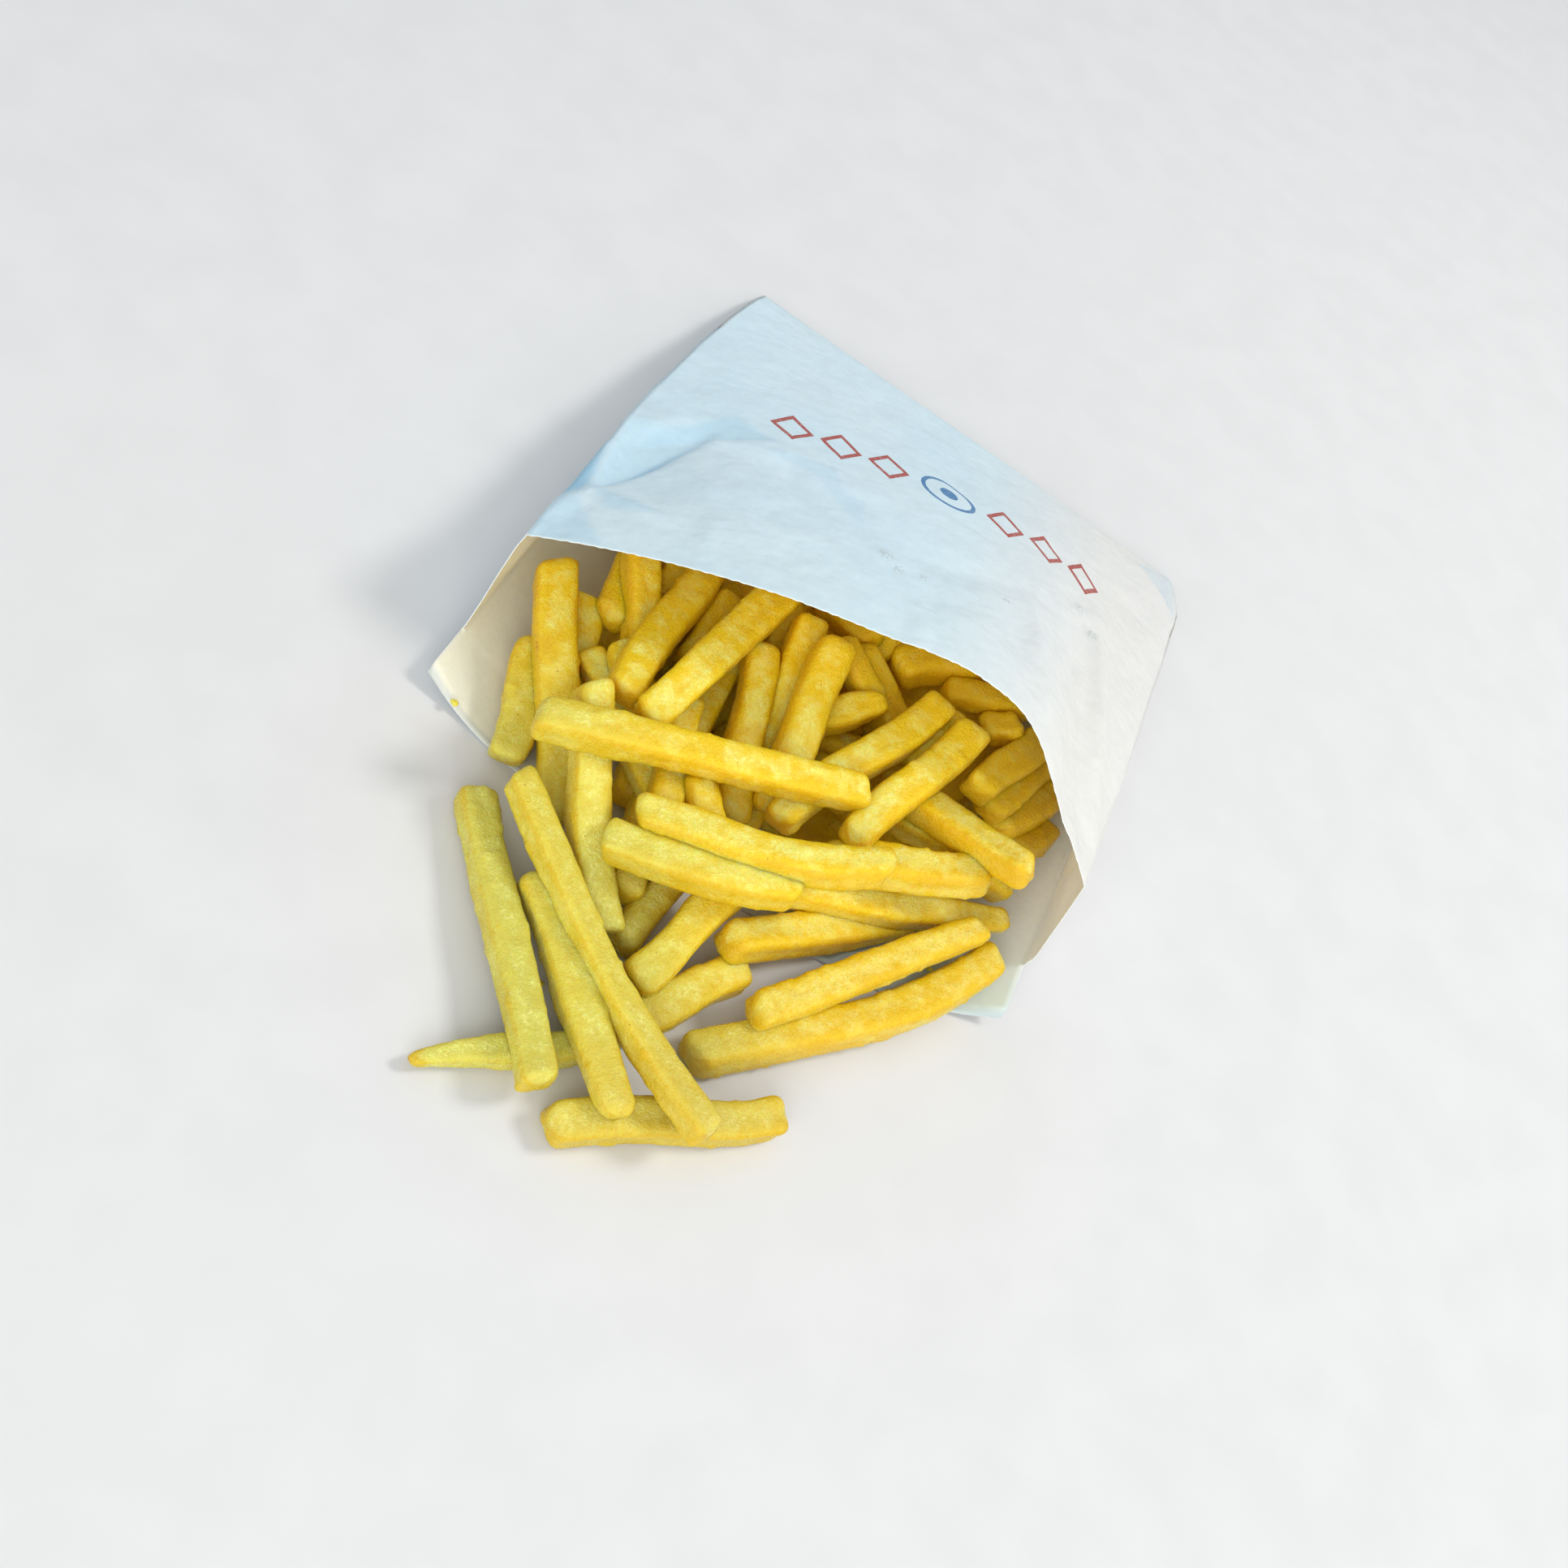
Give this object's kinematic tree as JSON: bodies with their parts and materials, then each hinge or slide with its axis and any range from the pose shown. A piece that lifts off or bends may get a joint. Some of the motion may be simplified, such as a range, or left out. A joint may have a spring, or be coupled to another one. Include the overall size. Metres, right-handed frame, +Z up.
{
  "type": "fries in a paper bag",
  "caption": "Flat white paper bag lying on its back with its mouth open, packed with potato fries that spill from the mouth onto the surface",
  "frame": {"origin": "middle of the bounding box in plan, at the underside that rests on the table", "axes": "+Y runs along the bag from the spilled fries at the mouth to the closed end, +X across it to the right of someone who looks into the mouth, +Z up through the front panel"},
  "size_m": [0.1384, 0.2306, 0.053],
  "materials": {
    "bag_paper": "thin white wrapping paper, matte, creased",
    "fried_potato": "fried potato crust, yellow, dry with a faint sheen of oil"
  },
  "bodies": {
    "root": {"bag": "bag_paper", "fries": "fried_potato"}
  },
  "joints": []
}
